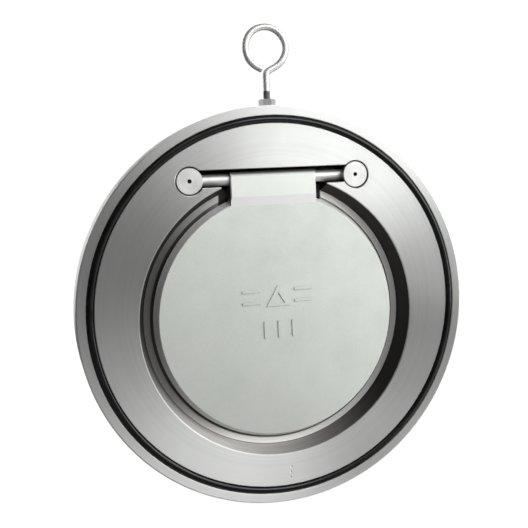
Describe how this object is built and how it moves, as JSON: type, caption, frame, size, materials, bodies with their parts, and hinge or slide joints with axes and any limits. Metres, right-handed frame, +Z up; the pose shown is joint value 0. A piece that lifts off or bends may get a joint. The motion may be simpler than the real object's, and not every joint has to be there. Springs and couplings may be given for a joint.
{
  "type": "wafer check valve",
  "caption": "Thin stainless wafer check valve: a swinging disc on a hinge pin in a flat ring body, with face seals and a lifting eye bolt.",
  "frame": {"origin": "centre of the body's outside diameter on the upstream flange face", "axes": "+Y along the pipe axis, out of the upstream face, so the flow runs towards -Y; +Z up towards the hinge and the lifting eye; +X to the right when the downstream side is looked at"},
  "size_m": [0.273, 0.0238, 0.3281],
  "materials": {
    "turned_steel": "lathe-turned stainless steel",
    "cast_steel": "blasted cast stainless steel",
    "bright_steel": "fine-turned stainless steel",
    "wire_steel": "polished bent wire",
    "seal_rubber": "moulded black nitrile rubber"
  },
  "bodies": {
    "valve_body": {"body": "turned_steel", "hinge_pin": "bright_steel", "pin_retainer_left": "bright_steel", "pin_retainer_right": "bright_steel", "retainer_screw_left": "bright_steel", "retainer_screw_right": "bright_steel", "downstream_face_oring": "seal_rubber", "upstream_face_oring": "seal_rubber", "eye_bolt": "wire_steel", "eye_bolt_nut": "wire_steel"},
    "swing_disc": {"disc": "cast_steel", "seat_oring": "seal_rubber"}
  },
  "joints": [
    {"name": "disc_swing", "type": "hinge", "parent": "valve_body", "child": "swing_disc", "pos_m": [0, -0.013, 0.08835], "axis": [-1, 0, 0], "range_deg": [0, 65]}
  ]
}
